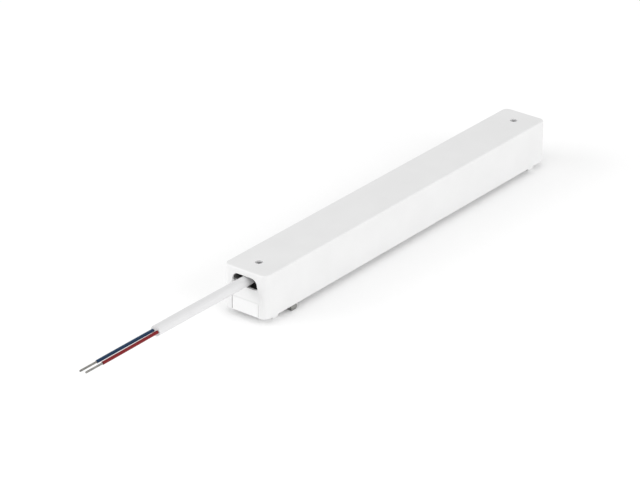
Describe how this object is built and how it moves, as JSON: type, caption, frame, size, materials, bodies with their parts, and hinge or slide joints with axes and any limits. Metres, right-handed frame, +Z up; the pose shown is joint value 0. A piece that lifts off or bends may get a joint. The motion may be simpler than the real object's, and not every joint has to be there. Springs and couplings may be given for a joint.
{
  "type": "led driver",
  "caption": "Slim white in-line LED driver: square-section moulded bar with cable mouths, an end panel, feet and a two-core output lead.",
  "frame": {"origin": "on the surface that the feet stand on, midway along the bar and on its centreline", "axes": "+Y along the bar from the output lead's end to the mains end, +X across it, +Z up out of the cover"},
  "size_m": [0.03, 0.4017, 0.0301],
  "materials": {
    "white_plastic": "satin white moulding",
    "white_sheath": "smooth white cable sheath",
    "blue_sheath": "dark blue core insulation",
    "red_sheath": "red core insulation",
    "tinned": "dull tinned copper",
    "zinc": "zinc-plated steel",
    "spring_steel": "dark satin spring steel",
    "aluminium": "plain sheet",
    "board_green": "solder-masked laminate",
    "black_resin": "moulded epoxy",
    "black_nylon": "matte black nylon",
    "ferrite": "dark grey ceramic",
    "copper": "enamelled copper wire",
    "yellow_tape": "polyester tape",
    "yellow_box": "moulded box",
    "blue_disc": "dipped lacquer",
    "green_block": "moulded terminal block",
    "fuse_brown": "moulded can",
    "can_sleeve": "shrink sleeve"
  },
  "bodies": {
    "root": {"cover": "white_plastic", "base_tray": "white_plastic", "retaining_clip": "spring_steel", "cover_screw_lead": "zinc", "cover_screw_mains": "zinc", "lead_clamp": "black_nylon", "lead_saddle": "black_nylon", "lead_clamp_screw_left": "zinc", "lead_clamp_screw_right": "zinc", "mains_clamp": "black_nylon", "mains_saddle": "black_nylon", "mains_clamp_screw_left": "zinc", "mains_clamp_screw_right": "zinc", "circuit_board": "board_green", "board_screw_lead": "zinc", "board_screw_mains": "zinc", "mains_terminal": "green_block", "terminal_screw_live": "zinc", "terminal_screw_neutral": "zinc", "fuse": "fuse_brown", "varistor": "blue_disc", "filter_capacitor": "yellow_box", "filter_choke_core": "ferrite", "filter_choke_winding_left": "copper", "filter_choke_winding_right": "copper", "bridge_rectifier": "black_resin", "bulk_capacitor": "can_sleeve", "heat_spreader": "aluminium", "switching_transistor": "black_resin", "transistor_screw": "zinc", "control_chip": "black_resin", "transformer_core": "ferrite", "transformer_bobbin": "black_resin", "transformer_winding": "yellow_tape", "optocoupler": "white_plastic", "safety_capacitor": "blue_disc", "output_diode": "black_resin", "output_capacitor_1": "can_sleeve", "output_capacitor_2": "can_sleeve", "output_choke_core": "ferrite", "output_choke_winding": "copper", "output_terminal": "white_plastic", "core_blue_inner_end": "blue_sheath", "core_red_inner_end": "red_sheath", "lead_sheath": "white_sheath", "core_blue": "blue_sheath", "core_red": "red_sheath", "tinned_end_blue": "tinned", "tinned_end_red": "tinned"}
  },
  "joints": []
}
